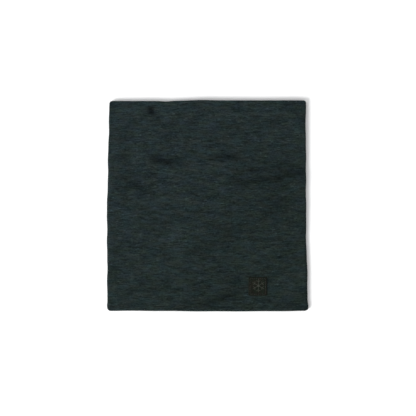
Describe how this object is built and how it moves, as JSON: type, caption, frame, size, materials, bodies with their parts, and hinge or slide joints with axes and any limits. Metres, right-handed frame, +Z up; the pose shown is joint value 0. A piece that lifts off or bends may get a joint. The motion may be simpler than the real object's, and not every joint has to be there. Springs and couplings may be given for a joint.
{
  "type": "neck gaiter",
  "caption": "Double-layer knitted neck gaiter laid flat: a plain tube with a turned-in welt at each mouth and a small square stitched patch near one lower corner.",
  "frame": {"origin": "middle of the footprint, on the table, with the tube lying flat", "axes": "+Z up from the table, +Y along the tube to the top mouth, +X to the right as the front is seen, towards the patch"},
  "size_m": [0.258, 0.274, 0.0083],
  "materials": {
    "shell_knit": "matte heather jersey knit",
    "lining_knit": "brushed matte knit",
    "thread": "spun polyester thread",
    "patch_leather": "matte, fine grain",
    "label_satin": "white woven satin"
  },
  "bodies": {
    "back_centre": {"shell_back_centre": "shell_knit", "lining_back_centre": "lining_knit", "mouth_seams_back_centre": "thread", "shell_back_seam": "thread", "lining_back_seam": "thread"},
    "back_left": {"shell_back_left": "shell_knit", "lining_back_left": "lining_knit", "mouth_seams_back_left": "thread"},
    "back_right": {"shell_back_right": "shell_knit", "lining_back_right": "lining_knit", "mouth_seams_back_right": "thread"},
    "front_left": {"shell_front_left": "shell_knit", "lining_front_left": "lining_knit", "mouth_seams_front_left": "thread"},
    "front_centre": {"shell_front_centre": "shell_knit", "lining_front_centre": "lining_knit", "mouth_seams_front_centre": "thread"},
    "front_right": {"shell_front_right": "shell_knit", "lining_front_right": "lining_knit", "mouth_seams_front_right": "thread", "patch": "patch_leather", "patch_stitching": "thread"},
    "care_label": {"care_label": "label_satin"}
  },
  "joints": [
    {"name": "back_left_bend", "type": "hinge", "parent": "back_centre", "child": "back_left", "pos_m": [-0.04, 0, 0.00115], "axis": [0, 1, 0], "range_deg": [0, 60]},
    {"name": "left_fold", "type": "hinge", "parent": "back_left", "child": "front_left", "pos_m": [-0.12602, 0, 0.0035], "axis": [0, -1, 0], "range_deg": [0, 120]},
    {"name": "front_left_bend", "type": "hinge", "parent": "front_left", "child": "front_centre", "pos_m": [-0.04, 0, 0.00585], "axis": [0, 1, 0], "range_deg": [0, 60]},
    {"name": "front_right_bend", "type": "hinge", "parent": "front_centre", "child": "front_right", "pos_m": [0.04, 0, 0.00585], "axis": [0, 1, 0], "range_deg": [0, 60]},
    {"name": "back_right_bend", "type": "hinge", "parent": "back_centre", "child": "back_right", "pos_m": [0.04, 0, 0.00115], "axis": [0, -1, 0], "range_deg": [0, 60]},
    {"name": "label_hang", "type": "hinge", "parent": "back_centre", "child": "care_label", "pos_m": [0.0032, 0, 0.0023], "axis": [0, -1, 0], "range_deg": [0, 60]}
  ],
  "couplings": [
    {"joint": "back_left_bend", "follows": "left_fold", "ratio": 0.5},
    {"joint": "front_left_bend", "follows": "left_fold", "ratio": 0.5},
    {"joint": "front_right_bend", "follows": "left_fold", "ratio": 0.5},
    {"joint": "back_right_bend", "follows": "left_fold", "ratio": 0.5},
    {"joint": "label_hang", "follows": "left_fold", "ratio": 0.5}
  ]
}
